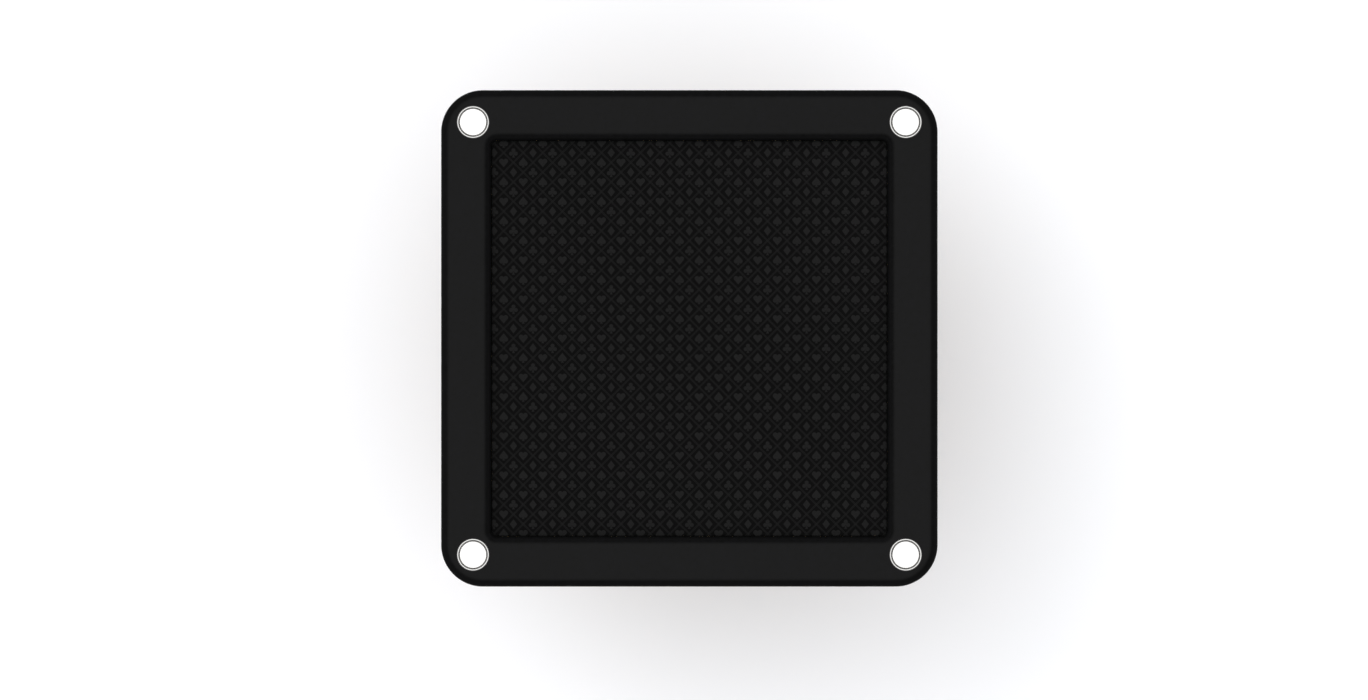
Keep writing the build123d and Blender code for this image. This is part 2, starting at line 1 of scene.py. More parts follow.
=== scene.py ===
import math
import bpy
import numpy as np
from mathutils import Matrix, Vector


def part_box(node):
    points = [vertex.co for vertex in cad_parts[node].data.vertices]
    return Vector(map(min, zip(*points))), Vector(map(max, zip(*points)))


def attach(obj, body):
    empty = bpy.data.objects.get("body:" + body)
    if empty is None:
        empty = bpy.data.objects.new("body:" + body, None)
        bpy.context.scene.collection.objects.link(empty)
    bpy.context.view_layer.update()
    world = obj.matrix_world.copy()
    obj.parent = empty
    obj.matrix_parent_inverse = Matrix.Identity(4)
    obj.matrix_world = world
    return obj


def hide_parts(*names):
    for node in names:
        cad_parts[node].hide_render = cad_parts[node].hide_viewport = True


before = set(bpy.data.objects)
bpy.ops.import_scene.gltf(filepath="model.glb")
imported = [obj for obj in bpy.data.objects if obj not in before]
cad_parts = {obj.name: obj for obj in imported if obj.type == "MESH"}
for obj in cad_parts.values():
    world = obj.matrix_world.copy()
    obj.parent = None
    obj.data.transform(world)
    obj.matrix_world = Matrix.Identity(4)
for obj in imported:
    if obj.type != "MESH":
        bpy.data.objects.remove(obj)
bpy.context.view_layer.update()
print("frame loaded:", len(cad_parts), "nodes")

# the eye and the room: straight down on the table, which stands a little off the middle of the view
room = {
    "viewWidth": 3.4996,
    "viewCentre": (-0.0137, -0.0297),
    "cameraHeight": 4.0,
    "floorSize": 16.0,
    "floorColour": "#f1f2f5",
    "skyLevel": 1.38,          # brightness of the even sky overhead
    "skyFall": 0.41,           # how fast it dims towards the horizon
    "lampLevel": 2.42,         # brightness of the soft lamp, up and to the left
    "lampTightness": 15.0,
    "lampTurn": 141.0,         # degrees round from +X
    "lampTilt": 45.0,          # degrees off straight up
    "belowLevel": 1.1,         # past the floor's far edge
    "panelLevel": 1.42,        # the ceiling panel, which shows in the steel and in the vinyl's sheen
    "panelEdge": (0.76, 0.985),  # cosine from straight up where it ends, and where it is full
    "roomLevel": 0.05,
    "wallLevel": 0.20,         # the pale walls under the dark band round the panel
    "wallEdge": (0.36, 0.58),  # where they start to end, and where they have ended
}


def hexColour(code, alpha=1.0):
    # each channel from sRGB to linear light
    channels = np.array([int(code[i:i + 2], 16) for i in (1, 3, 5)]) / 255
    linear = np.where(channels <= 0.04045, channels / 12.92, ((channels + 0.055) / 1.055) ** 2.4)
    return (*linear.tolist(), alpha)


def addNode(tree, kind, inputs=None, **settings):
    # inputs is a list or a dictionary of numbers, colours, nodes (their first output) or sockets
    node = tree.nodes.new(kind)
    for name, value in settings.items():
        setattr(node, name, value)
    pairs = inputs.items() if isinstance(inputs, dict) else enumerate(inputs or [])
    for place, value in pairs:
        if isinstance(value, bpy.types.Node):
            value = value.outputs[0]
        if isinstance(value, bpy.types.NodeSocket):
            tree.links.new(value, node.inputs[place])
        elif value is not None:
            node.inputs[place].default_value = value
    return node


def newMaterial(name, **surface):
    # a Principled surface on its own; surface holds its constant sockets, with _ for a space
    material = bpy.data.materials.new(name)
    material.use_nodes = True
    tree = material.node_tree
    tree.nodes.clear()
    shader = addNode(tree, "ShaderNodeBsdfPrincipled", {k.replace("_", " "): v for k, v in surface.items()})
    addNode(tree, "ShaderNodeOutputMaterial", [shader])
    return material, tree, shader


# camera
cameraData = bpy.data.cameras.new("camera")
cameraData.type = "ORTHO"
cameraData.ortho_scale = room["viewWidth"]
camera = bpy.data.objects.new("camera", cameraData)
camera.location = (*room["viewCentre"], room["cameraHeight"])
bpy.context.collection.objects.link(camera)
bpy.context.scene.camera = camera
bpy.context.scene.view_settings.view_transform = "Standard"

# sky: an even dome that dims towards the horizon, plus one broad soft lamp
world = bpy.data.worlds.new("softStudio")
bpy.context.scene.world = world
world.use_nodes = True
sky = world.node_tree
sky.nodes.clear()
turn, tilt = math.radians(room["lampTurn"]), math.radians(room["lampTilt"])
lampWay = (math.sin(tilt) * math.cos(turn), math.sin(tilt) * math.sin(turn), math.cos(tilt))
way = addNode(sky, "ShaderNodeTexCoord").outputs["Generated"]
height = addNode(sky, "ShaderNodeSeparateXYZ", [way]).outputs["Z"]
above = addNode(sky, "ShaderNodeMath", [height, 0.0], operation="GREATER_THAN")
# the power needs a height above nought, also for what looks down
aboveNought = addNode(sky, "ShaderNodeMath", [height, 0.0001], operation="MAXIMUM")
dome = addNode(sky, "ShaderNodeMath", [aboveNought, room["skyFall"]], operation="POWER")
dome = addNode(sky, "ShaderNodeMath", [dome, room["skyLevel"]], operation="MULTIPLY")
towards = addNode(sky, "ShaderNodeVectorMath", [way, lampWay], operation="DOT_PRODUCT").outputs["Value"]
tightness = room["lampTightness"]
fall = addNode(sky, "ShaderNodeMath", [towards, tightness, -tightness], operation="MULTIPLY_ADD")
lamp = addNode(sky, "ShaderNodeMath", [fall], operation="EXPONENT")
lamp = addNode(sky, "ShaderNodeMath", [lamp, room["lampLevel"]], operation="MULTIPLY")
upper = addNode(sky, "ShaderNodeMath", [dome, lamp], operation="ADD")
lightLevel = addNode(sky, "ShaderNodeMix", {0: above, 2: room["belowLevel"], 3: upper}, data_type="FLOAT")
# what shiny surfaces mirror: a bright ceiling panel, a dark band round it, and pale walls
walls = addNode(sky, "ShaderNodeMapRange", {
    "Value": height, "From Min": room["wallEdge"][0], "From Max": room["wallEdge"][1],
    "To Min": room["wallLevel"] - room["roomLevel"], "To Max": 0.0}, interpolation_type="SMOOTHSTEP")
panel = addNode(sky, "ShaderNodeMapRange", {
    "Value": height, "From Min": room["panelEdge"][0], "From Max": room["panelEdge"][1],
    "To Min": room["roomLevel"], "To Max": room["panelLevel"]}, interpolation_type="SMOOTHSTEP")
mirroredLevel = addNode(sky, "ShaderNodeMath", [walls, panel], operation="ADD")
mirrored = addNode(sky, "ShaderNodeLightPath").outputs["Is Glossy Ray"]
level = addNode(sky, "ShaderNodeMix", {0: mirrored, 2: lightLevel, 3: mirroredLevel}, data_type="FLOAT")
glow = addNode(sky, "ShaderNodeBackground", {"Color": (1, 1, 1, 1), "Strength": level})
addNode(sky, "ShaderNodeOutputWorld", [glow])

# floor: matt white studio vinyl
floorMaterial, tree, shader = newMaterial(
    "mattStudioFloor", Base_Color=hexColour(room["floorColour"]), Roughness=0.9, Specular_IOR_Level=0.0)
half = room["floorSize"] / 2
floorMesh = bpy.data.meshes.new("floor")
floorCorners = [(-half, -half, 0), (half, -half, 0), (half, half, 0), (-half, half, 0)]
floorMesh.from_pydata(floorCorners, [], [(0, 1, 2, 3)])
floorMesh.materials.append(floorMaterial)
floor = bpy.data.objects.new("floor", floorMesh)
# shiny sides mirror the walls' level and not the floor, or the rail's rim would shine white
floor.visible_glossy = False
bpy.context.collection.objects.link(floor)
print("room ready")


def outline(half, radius, arcSteps, straightSteps):
    # a square with rounded corners, anticlockwise: a quarter circle at each corner, then a straight run to
    # the next; with the way that each point faces
    angle = np.radians(np.arange(4)[:, None] * 90 + np.linspace(0, 90, arcSteps + 1)[None, :])
    middle = np.radians(np.arange(4) * 90 + 45)
    centre = math.sqrt(2) * (half - radius) * np.stack([np.cos(middle), np.sin(middle)], -1)
    facing = np.stack([np.cos(angle), np.sin(angle)], -1)
    arcs = centre[:, None, :] + radius * facing
    share = np.linspace(0, 1, straightSteps + 1)[1:-1, None]
    nextStart = np.roll(arcs[:, 0, :], -1, axis=0)
    runs = arcs[:, -1, None, :] * (1 - share) + nextStart[:, None, :] * share
    runFacing = np.repeat(facing[:, -1, None, :], straightSteps - 1, axis=1)
    points = np.concatenate([arcs, runs], 1).reshape(-1, 2)
    facings = np.concatenate([facing, runFacing], 1).reshape(-1, 2)
    return points, facings


def flatRings(points, scales, height):
    # copies of an outline at one height, each scaled towards the middle
    rings = points[:, None, :] * scales[None, :, None]
    return np.concatenate([rings, np.full((*rings.shape[:2], 1), height)], -1)


def gridObject(name, points, closeAcross=False, startPole=None, endPole=None):
    # points[i, j] is a grid, closed round i; closeAcross joins its last column to its first, and a pole
    # closes the first or the last column on one point
    rows, columns = points.shape[:2]
    i, j = np.meshgrid(np.arange(rows), np.arange(columns if closeAcross else columns - 1), indexing="ij")
    nextI, nextJ = (i + 1) % rows, (j + 1) % columns
    corners = [i * columns + j, nextI * columns + j, nextI * columns + nextJ, i * columns + nextJ]
    faces = np.stack(corners, -1).reshape(-1, 4).tolist()
    vertices = points.reshape(-1, 3).tolist()
    first = np.arange(rows) * columns
    last = first + columns - 1
    ends = ((startPole, np.roll(first, -1), first), (endPole, last, np.roll(last, -1)))
    for pole, ring, nextOnRing in ends:
        if pole is not None:
            faces += np.stack([ring, nextOnRing, np.full(rows, len(vertices))], -1).tolist()
            vertices.append(tuple(pole))
    mesh = bpy.data.meshes.new(name)
    mesh.from_pydata(vertices, [], faces)
    mesh.update()
    made = bpy.data.objects.new(name, mesh)
    bpy.context.collection.objects.link(made)
    return made


def finished(piece):
    # the piece's modifiers worked into its mesh
    bpy.context.view_layer.update()
    solid = bpy.data.meshes.new_from_object(piece.evaluated_get(bpy.context.evaluated_depsgraph_get()))
    piece.modifiers.clear()
    piece.data = solid


def dress(piece, material, sharpFrom):
    # one material, and smooth shading apart from edges that turn by more than sharpFrom degrees
    mesh = piece.data
    mesh.polygons.foreach_set("use_smooth", np.ones(len(mesh.polygons), bool))
    mesh.set_sharp_from_angle(angle=math.radians(sharpFrom))
    mesh.materials.clear()
    mesh.materials.append(material)


# moulded PVC leatherette over foam: near black, a soft sheen, and a pebbled grain of small domes
vinyl = {
    "tones": ("#0a0a0a", "#0d0d0e"),
    "toneEnds": (0.3, 0.7),    # where between nought and one the patches reach each tone
    "patch": 0.012,
    "roughness": (0.28, 0.36),
    "specular": 0.093,
    "grain": 0.0016,           # across one dome
    "grainStrength": 0.6,
    "grainDepth": 0.00012,
    "swell": 0.045,            # slow waves from the foam
    "swellDepth": 0.0004,
}
vinylMaterial, tree, shader = newMaterial(
    "pebbledPvcLeatherette", Roughness=0.32, IOR=1.5, Specular_IOR_Level=vinyl["specular"])
spot = addNode(tree, "ShaderNodeTexCoord").outputs["Object"]
pebble = addNode(tree, "ShaderNodeTexVoronoi", {"Vector": spot, "Scale": 1 / vinyl["grain"]},
                 feature="SMOOTH_F1")
patch = addNode(tree, "ShaderNodeTexNoise", {"Vector": spot, "Scale": 1 / vinyl["patch"], "Detail": 3.0})
swell = addNode(tree, "ShaderNodeTexNoise", {"Vector": spot, "Scale": 1 / vinyl["swell"], "Detail": 1.0})
crease = addNode(tree, "ShaderNodeMath", [1.0, pebble.outputs["Distance"]], operation="SUBTRACT")
swellBump = addNode(tree, "ShaderNodeBump", {
    "Strength": 1.0, "Distance": vinyl["swellDepth"], "Height": swell})
grainBump = addNode(tree, "ShaderNodeBump", {
    "Strength": vinyl["grainStrength"], "Distance": vinyl["grainDepth"], "Height": crease,
    "Normal": swellBump})
tree.links.new(grainBump.outputs[0], shader.inputs["Normal"])
tone = addNode(tree, "ShaderNodeValToRGB", [patch])
for end, position, colour in zip(tone.color_ramp.elements, vinyl["toneEnds"], vinyl["tones"]):
    end.position, end.color = position, hexColour(colour)
tree.links.new(tone.outputs[0], shader.inputs["Base Color"])
gloss = addNode(tree, "ShaderNodeMapRange", {
    "Value": patch, "To Min": vinyl["roughness"][0], "To Max": vinyl["roughness"][1]})
tree.links.new(gloss.outputs[0], shader.inputs["Roughness"])

# rail: vinyl pulled tight over foam on a plywood core, sized from the CAD nodes that it stands for
railLow, railHigh = (Vector(p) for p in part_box("rail_cover"))
fieldLow, fieldHigh = (Vector(p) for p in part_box("field_cloth"))
cupBoxes = [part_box("cup_" + corner) for corner in ("front_left", "front_right", "back_left", "back_right")]
cupCentres = np.array([[(low[0] + high[0]) / 2, (low[1] + high[1]) / 2] for low, high in cupBoxes])
rail = {
    "cornerRadius": 0.107,
    "openingGap": 0.0003,      # round the playing field
    "openingRadius": 0.014,
    "roll": (0.024, 0.020),    # width and height of the two rolled top edges
    "underRound": 0.0025,
    "crown": 0.0007,           # rise of the foam between the rolls
    "pressed": (0.044, 0.100),  # the cups' lips press the crown flat inside the first radius
    "cupHole": 0.038,
    "puckers": 9,              # small pleats of the vinyl round each inner corner
    "puckerDepth": 0.00035,
    "puckerStart": 0.15,       # share of their half wave that has passed where the roll begins
    "sharpFrom": 40,
}
arcSteps, straightSteps, rollSteps, topSteps, wallSteps, cutterSides = 36, 30, 10, 16, 4, 96
outer, outerFacing = outline(railHigh.x, rail["cornerRadius"], arcSteps, straightSteps)
openingHalf = fieldHigh.x + rail["openingGap"]
inner, innerFacing = outline(openingHalf, rail["openingRadius"], arcSteps, straightSteps)
turned = np.linspace(0, math.pi / 2, rollSteps + 1)
base, top, under = railLow.z, railHigh.z, rail["underRound"]
rollWide, rollHigh = rail["roll"]
# half a section from the underside to the end of the roll, as insets from the outline and as heights: a
# quarter circle under, a straight wall, and a quarter ellipse over
underTurned = turned[::2]
wall = np.linspace(base + under, top - rollHigh, wallSteps + 1)[1:-1]
underInset = under * (1 - np.sin(underTurned))
underHeight = base + under * (1 - np.cos(underTurned))
rollInset = rollWide * (1 - np.cos(turned))
rollHeight = top - rollHigh + rollHigh * np.sin(turned)
halfInset = np.concatenate([underInset, np.zeros(len(wall)), rollInset])
halfHeight = np.concatenate([underHeight, wall, rollHeight])
outerSide = outer[:, None, :] - outerFacing[:, None, :] * halfInset[None, :, None]
innerSide = inner[:, None, :] + innerFacing[:, None, :] * halfInset[None, ::-1, None]
# the top and the underside run straight across between the two sides; the underside needs fewer steps
share = np.linspace(0, 1, topSteps + 1)[1:-1]
topShare, underShare = share[None, :, None], share[None, ::4, None]
across = outerSide[:, -1, None, :] * (1 - topShare) + innerSide[:, 0, None, :] * topShare
underneath = innerSide[:, -1, None, :] * (1 - underShare) + outerSide[:, 0, None, :] * underShare
plan = np.concatenate([outerSide, across, innerSide, underneath], 1)
flatTop, flatUnder = np.full(len(share), top), np.full(underneath.shape[1], base)
heights = np.concatenate([halfHeight, flatTop, halfHeight[::-1], flatUnder])
heights = np.repeat(heights[None, :], len(outer), axis=0)
# the foam's crown is a sine hump between the rolls, pressed flat round the cups
toCup = np.min(np.linalg.norm(plan[:, :, None, :] - cupCentres[None, None], axis=-1), axis=-1)
pressedTo, freeFrom = rail["pressed"]
free = np.clip((toCup - pressedTo) / (freeFrom - pressedTo), 0, 1)
hump = np.zeros(heights.shape)
firstTop = len(halfInset)
hump[:, firstTop:firstTop + len(share)] = np.sin(np.pi * share)[None, :]
heights = heights + rail["crown"] * hump * free * free * (3 - 2 * free)
# the pleats are a sine round each inner corner, under a wide hump, and deepest half way up the roll
cornerShare = np.concatenate([np.linspace(0, 1, arcSteps + 1), np.zeros(straightSteps - 1)])
pleat = np.tile(np.sin(np.pi * cornerShare) * np.sin(np.pi * rail["puckers"] * 2 * cornerShare), 4)
onInner = np.zeros(plan.shape[1])
innerStart = firstTop + len(share)
upRoll = np.linspace(rail["puckerStart"], 1, rollSteps + 1)
onInner[innerStart:innerStart + rollSteps + 1] = np.sin(np.pi * upRoll) ** 2
push = rail["puckerDepth"] * pleat[:, None] * onInner[None, :]
plan = plan + innerFacing[:, None, :] * push[:, :, None]
railPad = gridObject("railPad", np.concatenate([plan, heights[:, :, None]], -1), closeAcross=True)
cutterDepth = 0.2  # well past both faces of the rail
for x, y in cupCentres.tolist():
    bpy.ops.mesh.primitive_cylinder_add(
        vertices=cutterSides, radius=rail["cupHole"], depth=cutterDepth, location=(x, y, top))
    cutter = bpy.context.object
    cut = railPad.modifiers.new("cupHole", "BOOLEAN")
    cut.operation, cut.object, cut.solver = "DIFFERENCE", cutter, "EXACT"
    finished(railPad)
    bpy.data.objects.remove(cutter)
dress(railPad, vinylMaterial, rail["sharpFrom"])
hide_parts("rail_cover", "rail_foam_sides", "rail_foam_corners")
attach(railPad, "table")
print("rail done:", len(railPad.data.polygons), "faces")

# woven polyester speed cloth, coated and printed: matt black ground, and a dark grey lattice with a suit in
# each diamond
cloth = {
    "ground": "#0c0c0c",
    "print": "#1b1b1b",
    "pitch": 0.050,            # between two suits in a row
    "lineWidth": 0.0012,       # each line of the lattice is double
    "lineApart": 0.0026,
    "blur": 0.0006,            # soft edge of the print
    "thread": 0.0012,          # drawn coarser than the real 0.3 mm, which is too fine to show
    "threadStrength": 0.5,
    "threadDepth": 0.00006,
    "slub": 0.004,             # patches of thicker and thinner yarn
    "slubShade": (0.85, 1.15),
    "roughness": 0.8,
    "specular": 0.01,
}
# each suit is a union of parts, in mm from its middle, on the folded plane (|x|, y): a disc (x, y, radius),
# or the space behind some edges (across, up, distance), where across * |x| + up * y is less than distance
stem = ("edges", (0.945, 0.327, -0.69), (0, -1, 12.5))
suits = {
    "spade": [("disc", 5.4, -2.6, 5.9), ("edges", (0.766, 0.643, 8.36), (0.464, -0.886, 3.54)), stem],
    "heart": [("disc", 5.4, 3.6, 6.1), ("edges", (0.757, -0.653, 7.84), (0.474, 0.880, 4.40))],
    "club": [("disc", 0, 6.2, 5.2), ("disc", 6.0, -2.4, 5.2), ("disc", 0, 0, 3.0), stem],
    "diamond": [("edges", (0.796, 0.605, 7.56), (0.796, -0.605, 7.56))],
}
clothMaterial, tree, shader = newMaterial(
    "printedSpeedCloth", Roughness=cloth["roughness"], IOR=1.5, Specular_IOR_Level=cloth["specular"])
spot = addNode(tree, "ShaderNodeTexCoord").outputs["Object"]
inPitches = addNode(tree, "ShaderNodeVectorMath", [spot, (1 / cloth["pitch"],) * 3], operation="MULTIPLY")
u, v = addNode(tree, "ShaderNodeSeparateXYZ", [inPitches]).outputs[:2]
rising = addNode(tree, "ShaderNodeMath", [u, v], operation="ADD")        # counts the falling lines
falling = addNode(tree, "ShaderNodeMath", [u, v], operation="SUBTRACT")  # counts the rising lines
cellA = addNode(tree, "ShaderNodeMath", [rising], operation="FLOOR")
cellB = addNode(tree, "ShaderNodeMath", [falling], operation="FLOOR")
# the cell's middle: half the sum of both counts plus a half across, and half their difference up
cellSum = addNode(tree, "ShaderNodeMath", [cellA, cellB], operation="ADD")
cellGap = addNode(tree, "ShaderNodeMath", [cellA, cellB], operation="SUBTRACT")
middleU = addNode(tree, "ShaderNodeMath", [cellSum, 0.5, 0.5], operation="MULTIPLY_ADD")
middleV = addNode(tree, "ShaderNodeMath", [cellGap, 0.5], operation="MULTIPLY")
middle = addNode(tree, "ShaderNodeCombineXYZ", [middleU, middleV])
flatSpot = addNode(tree, "ShaderNodeCombineXYZ", [u, v])
offset = addNode(tree, "ShaderNodeVectorMath", [flatSpot, middle], operation="SUBTRACT")
pitchMm = cloth["pitch"] * 1000
offsetMm = addNode(tree, "ShaderNodeVectorMath", [offset, (pitchMm,) * 3], operation="MULTIPLY")
x, y = addNode(tree, "ShaderNodeSeparateXYZ", [offsetMm]).outputs[:2]
foldedX = addNode(tree, "ShaderNodeMath", [x], operation="ABSOLUTE")
folded = addNode(tree, "ShaderNodeCombineXYZ", [foldedX, y])
suitDistance = {}
for suit, parts in suits.items():
    nearest = None
    for kind, *numbers in parts:
        if kind == "disc":
            discX, discY, discRadius = numbers
            reach = addNode(tree, "ShaderNodeVectorMath", [folded, (discX, discY, 0)],
                            operation="DISTANCE").outputs["Value"]
            distance = addNode(tree, "ShaderNodeMath", [reach, discRadius], operation="SUBTRACT")
        else:
            distance = None
            for acrossPart, upPart, limit in numbers:
                reach = addNode(tree, "ShaderNodeVectorMath", [folded, (acrossPart, upPart, 0)],
                                operation="DOT_PRODUCT").outputs["Value"]
                behind = addNode(tree, "ShaderNodeMath", [reach, limit], operation="SUBTRACT")
                distance = behind if distance is None else addNode(
                    tree, "ShaderNodeMath", [distance, behind], operation="MAXIMUM")
        nearest = distance if nearest is None else addNode(
            tree, "ShaderNodeMath", [nearest, distance], operation="MINIMUM")
    suitDistance[suit] = nearest
# hearts and spades share the rows through the middle, diamonds and clubs the rows between
oddCell = addNode(tree, "ShaderNodeMath", [cellA, 2.0], operation="FLOORED_MODULO")
oddRow = addNode(tree, "ShaderNodeMath", [cellGap, 2.0], operation="FLOORED_MODULO")
fullRow = addNode(tree, "ShaderNodeMix", {
    0: oddCell, 2: suitDistance["spade"], 3: suitDistance["heart"]}, data_type="FLOAT")
halfRow = addNode(tree, "ShaderNodeMix", {
    0: oddCell, 2: suitDistance["club"], 3: suitDistance["diamond"]}, data_type="FLOAT")
suitHere = addNode(tree, "ShaderNodeMix", {0: oddRow, 2: fullRow, 3: halfRow}, data_type="FLOAT")
linePitchMm = pitchMm / math.sqrt(2)
halfApartMm, halfWidthMm = cloth["lineApart"] * 500, cloth["lineWidth"] * 500
lineHere = None
for tally in (rising, falling):
    # the way to the nearest whole number, in mm across the line, then to the nearer of its two strokes
    part = addNode(tree, "ShaderNodeMath", [tally, 0.5], operation="PINGPONG")
    reach = addNode(tree, "ShaderNodeMath", [part, linePitchMm, -halfApartMm], operation="MULTIPLY_ADD")
    reach = addNode(tree, "ShaderNodeMath", [reach], operation="ABSOLUTE")
    reach = addNode(tree, "ShaderNodeMath", [reach, halfWidthMm], operation="SUBTRACT")
    lineHere = reach if lineHere is None else addNode(
        tree, "ShaderNodeMath", [lineHere, reach], operation="MINIMUM")
printHere = addNode(tree, "ShaderNodeMath", [suitHere, lineHere], operation="MINIMUM")
blurMm = cloth["blur"] * 1000
inked = addNode(tree, "ShaderNodeMapRange", {"Value": printHere, "From Min": blurMm, "From Max": -blurMm})
ink = addNode(tree, "ShaderNodeMix", {
    0: inked, 6: hexColour(cloth["ground"]), 7: hexColour(cloth["print"])}, data_type="RGBA")
bandAtScaleOne = 0.314  # width in metres of one band of the wave texture at scale 1
threadsX, threadsY = (
    addNode(tree, "ShaderNodeTexWave", {
        "Vector": spot, "Scale": bandAtScaleOne / cloth["thread"], "Distortion": 0.3}, bands_direction=axis)
    for axis in ("X", "Y"))
weave = addNode(tree, "ShaderNodeMath", [threadsX.outputs["Fac"], threadsY.outputs["Fac"]],
                operation="MULTIPLY")
slub = addNode(tree, "ShaderNodeTexNoise", {"Vector": spot, "Scale": 1 / cloth["slub"], "Detail": 2.0})
shade = addNode(tree, "ShaderNodeMapRange", {
    "Value": slub, "To Min": cloth["slubShade"][0], "To Max": cloth["slubShade"][1]})
dyed = addNode(tree, "ShaderNodeVectorMath", {0: ink.outputs[2], "Scale": shade}, operation="SCALE")
tree.links.new(dyed.outputs[0], shader.inputs["Base Color"])
weaveBump = addNode(tree, "ShaderNodeBump", {
    "Strength": cloth["threadStrength"], "Distance": cloth["threadDepth"], "Height": weave})
tree.links.new(weaveBump.outputs[0], shader.inputs["Normal"])
print("cloth material:", len(tree.nodes), "nodes")

# playing field: cloth stretched over foam and a board, turned under and stapled
field = {
    "cornerRadius": 0.012,
    "edgeRound": 0.0025,
    "fold": 0.0006,            # the small bevel where the cloth turns under
    "thickness": 0.001,
    "flap": 0.040,
    "sharpFrom": 50,
}
arcSteps, straightSteps, roundSteps, inwardSteps = 10, 24, 6, 11
fieldOutline, fieldFacing = outline(fieldHigh.x, field["cornerRadius"], arcSteps, straightSteps)
rim, fold = field["edgeRound"], field["fold"]
turned = np.linspace(0, math.pi / 2, roundSteps + 1)
upSide = np.linspace(fieldLow.z + fold, fieldHigh.z - rim, 4)[1:3]
# from the flap's end under the board: out to the edge, up the side, round the top edge, in to the middle
inset = np.concatenate([[fold, 0.0], [0.0, 0.0], rim * (1 - np.cos(turned))])
rise = np.concatenate([[fieldLow.z, fieldLow.z + fold], upSide, fieldHigh.z - rim + rim * np.sin(turned)])
side = fieldOutline[:, None, :] - fieldFacing[:, None, :] * inset[None, :, None]
side = np.concatenate([side, np.repeat(rise[None, :, None], len(fieldOutline), axis=0)], -1)
flapScale = 1 - field["flap"] / fieldHigh.x * np.array([1.0, 0.5])
flap = flatRings(side[:, 0, :2], flapScale, fieldLow.z)
topRings = flatRings(side[:, -1, :2], np.linspace(1, 0, inwardSteps + 1)[1:-1], fieldHigh.z)
rings = np.concatenate([flap, side, topRings], 1)
fieldCloth = gridObject("fieldCloth", rings, endPole=(0, 0, fieldHigh.z))
thick = fieldCloth.modifiers.new("thickness", "SOLIDIFY")
thick.thickness, thick.offset = field["thickness"], -1.0
finished(fieldCloth)
dress(fieldCloth, clothMaterial, field["sharpFrom"])
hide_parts("field_cloth")
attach(fieldCloth, "field")

# polyurethane foam, slab cut: pale cream, dull, with open cells about a millimetre across
foam = {
    "tones": ("#cfc6a4", "#e6dfc4"),
    "cell": 0.0012,
    "cellStrength": 0.6,
    "cellDepth": 0.0003,
    "cornerRadius": 0.011,
    "edgeRound": 0.0015,
    "sharpFrom": 50,
}
foamMaterial, tree, shader = newMaterial("slabCutFoam", Roughness=0.95, IOR=1.4)
spot = addNode(tree, "ShaderNodeTexCoord").outputs["Object"]
cells = addNode(tree, "ShaderNodeTexVoronoi", {"Vector": spot, "Scale": 1 / foam["cell"]})
cells = cells.outputs["Distance"]
# painted shade: darker cream in each cell's middle, the hollow of the bump below, paler cream at its rim
tone = addNode(tree, "ShaderNodeValToRGB", [cells])
for end, colour in zip(tone.color_ramp.elements, foam["tones"]):
    end.color = hexColour(colour)
tree.links.new(tone.outputs[0], shader.inputs["Base Color"])
cellBump = addNode(tree, "ShaderNodeBump", {
    "Strength": foam["cellStrength"], "Distance": foam["cellDepth"], "Height": cells})
tree.links.new(cellBump.outputs[0], shader.inputs["Normal"])

# underlay: a slab of the same foam, with its top edge rounded by the cloth
foamLow, foamHigh = (Vector(p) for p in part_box("field_underlay"))
arcSteps, straightSteps, roundSteps, inwardSteps = 8, 12, 4, 5
foamOutline, foamFacing = outline(foamHigh.x, foam["cornerRadius"], arcSteps, straightSteps)
turned = np.linspace(0, math.pi / 2, roundSteps + 1)
# from the middle of the underside out to the edge, up and round it, and back to the middle of the top
inset = np.concatenate([[0.0], foam["edgeRound"] * (1 - np.cos(turned))])
rise = np.concatenate([[foamLow.z], foamHigh.z - foam["edgeRound"] * (1 - np.sin(turned))])
side = foamOutline[:, None, :] - foamFacing[:, None, :] * inset[None, :, None]
side = np.concatenate([side, np.repeat(rise[None, :, None], len(foamOutline), axis=0)], -1)
topRings = flatRings(side[:, -1, :2], np.linspace(1, 0, inwardSteps + 1)[1:-1], foamHigh.z)
lowRings = topRings[:, ::-1] * (1, 1, foamLow.z / foamHigh.z)
rings = np.concatenate([lowRings, side, topRings], 1)
fieldFoam = gridObject("fieldFoam", rings, startPole=(0, 0, foamLow.z), endPole=(0, 0, foamHigh.z))
dress(fieldFoam, foamMaterial, foam["sharpFrom"])
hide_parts("field_underlay")
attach(fieldFoam, "field")
print("playing field done")

# spun stainless steel, polished: bright, with faint turning marks round each cup
steel = {
    "colour": "#ecebe9",
    "roughness": (0.08, 0.15),
    "markApart": 0.0008,
    "markStrength": 0.15,
    "markDepth": 0.00002,
}
steelMaterial, tree, shader = newMaterial(
    "spunStainlessSteel", Base_Color=hexColour(steel["colour"]), Metallic=1.0, Roughness=0.12)
spot = addNode(tree, "ShaderNodeTexCoord").outputs["Object"]
# all four cups fold onto one by the absolute value
folded = addNode(tree, "ShaderNodeVectorMath", [spot], operation="ABSOLUTE")
cupMiddle = (*np.abs(cupCentres[0]).tolist(), 0)
fromCup = addNode(tree, "ShaderNodeVectorMath", [folded, cupMiddle], operation="SUBTRACT")
flat = addNode(tree, "ShaderNodeVectorMath", [fromCup, (1, 1, 0)], operation="MULTIPLY")
radius = addNode(tree, "ShaderNodeVectorMath", [flat], operation="LENGTH").outputs["Value"]
markCount = addNode(tree, "ShaderNodeMath", [radius, 1 / steel["markApart"]], operation="MULTIPLY")
marks = addNode(tree, "ShaderNodeTexNoise", {"W": markCount, "Scale": 1.0, "Detail": 2.0},
                noise_dimensions="1D")
dull = addNode(tree, "ShaderNodeMapRange", {
    "Value": marks, "To Min": steel["roughness"][0], "To Max": steel["roughness"][1]})
tree.links.new(dull.outputs[0], shader.inputs["Roughness"])
markBump = addNode(tree, "ShaderNodeBump", {
    "Strength": steel["markStrength"], "Distance": steel["markDepth"], "Height": marks})
